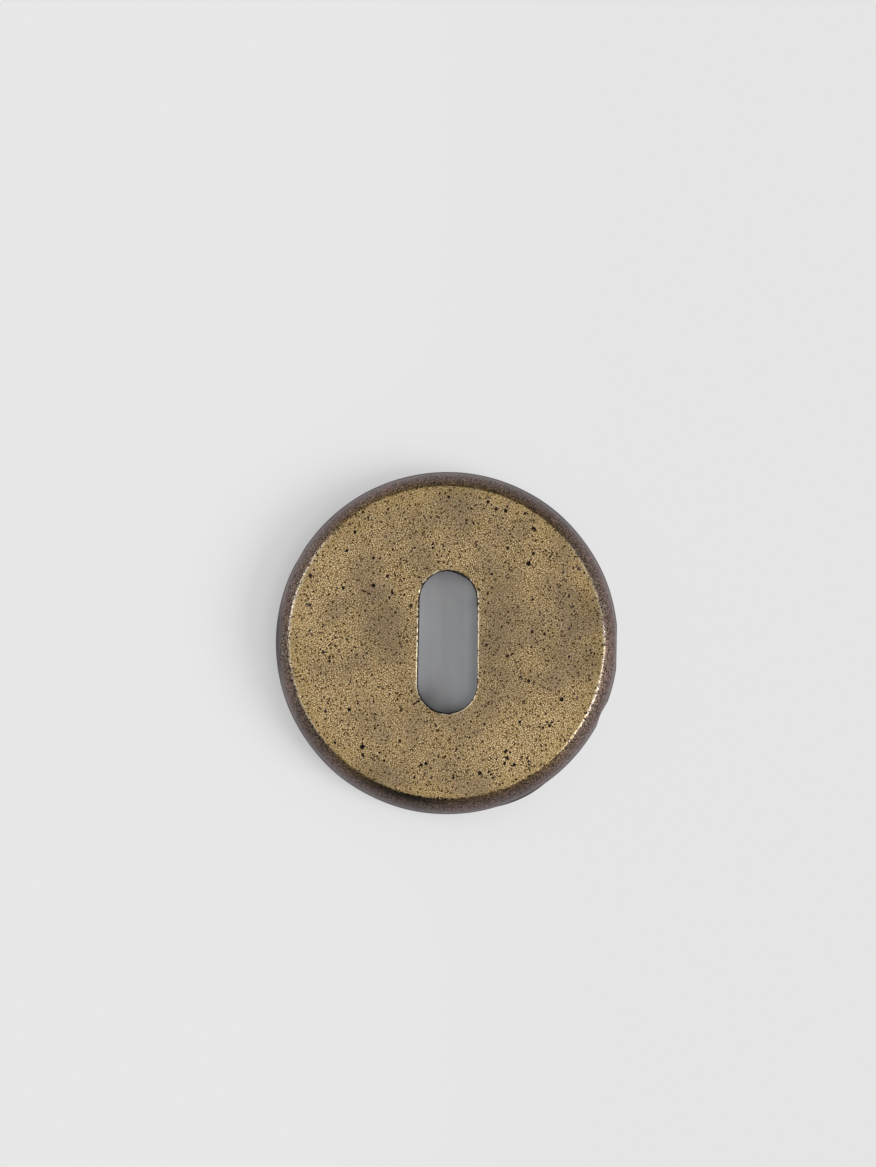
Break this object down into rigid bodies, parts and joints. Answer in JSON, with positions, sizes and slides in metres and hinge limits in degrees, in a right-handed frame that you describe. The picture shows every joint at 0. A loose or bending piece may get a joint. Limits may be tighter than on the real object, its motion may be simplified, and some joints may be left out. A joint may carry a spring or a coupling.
{
  "type": "keyhole escutcheon",
  "caption": "Round cast bronze plate with a rounded rim and an upright slot that dresses the keyhole of a door, cupboard or drawer.",
  "frame": {"origin": "centre of the back, in the plane that lies on the door, on the middle of the keyhole", "axes": "+Z out of the door, +Y up the door along the keyhole, +X to the right as the face is looked at"},
  "size_m": [0.0499, 0.05, 0.008],
  "materials": {
    "bronze": "aged cast bronze: a satin ground face with small dark pits, and a dark brown patina on the rim"
  },
  "bodies": {
    "root": {"escutcheon": "bronze"}
  },
  "joints": []
}
